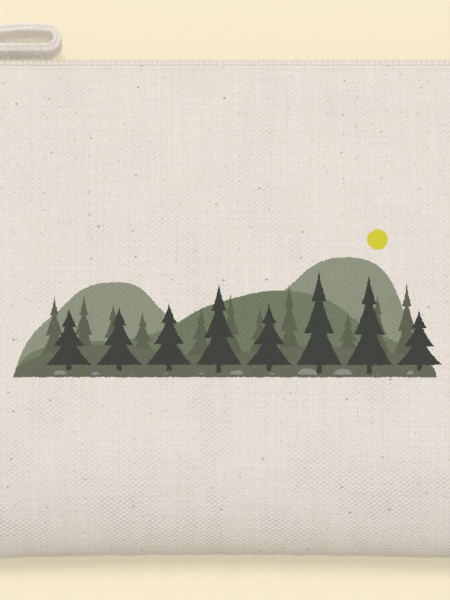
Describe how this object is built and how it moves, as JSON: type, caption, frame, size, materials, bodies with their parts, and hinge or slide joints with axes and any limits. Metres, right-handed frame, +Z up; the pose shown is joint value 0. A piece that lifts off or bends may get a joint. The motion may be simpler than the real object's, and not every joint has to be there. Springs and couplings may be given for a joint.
{
  "type": "zip pouch",
  "caption": "Small canvas zip pouch lying on its back, with a coil zip along its top edge and a folded canvas loop on the slider's pull.",
  "frame": {"origin": "on the surface that the pouch lies on, under the middle of the whole thing with its loop", "axes": "+X along the zip, away from its closed end; +Y from the bottom edge towards the zip; +Z up out of the front panel"},
  "size_m": [0.178, 0.137, 0.024],
  "materials": {
    "canvas_printed": "natural cotton canvas, printed on its front",
    "canvas": "natural cotton canvas, unbleached",
    "zip_tape": "woven polyester tape, cream",
    "zip_coil": "nylon monofilament coil, cream",
    "zip_stop": "pressed, satin",
    "slider_metal": "die-cast, nickel plated",
    "loop_canvas": "natural cotton canvas strip, folded and stitched"
  },
  "bodies": {
    "pouch": {"front_panel": "canvas_printed", "back_panel": "canvas", "tape_front": "zip_tape", "tape_back": "zip_tape", "coil_front": "zip_coil", "coil_back": "zip_coil", "top_stop_front": "zip_stop", "top_stop_back": "zip_stop", "bottom_stop": "zip_stop"},
    "zip_slider": {"slider": "slider_metal"},
    "pull": {"puller": "slider_metal", "pull_loop": "loop_canvas"}
  },
  "joints": [
    {"name": "slider_slide", "type": "slide", "parent": "pouch", "child": "zip_slider", "axis": [1, 0, 0], "range_m": [0, 0.1504], "deforming": ["coil_front", "coil_back"]},
    {"name": "pull_flip", "type": "hinge", "parent": "zip_slider", "child": "pull", "pos_m": [-0.07485, 0.06242, 0.009], "axis": [0, 0, 1], "range_deg": [0, 160]}
  ]
}
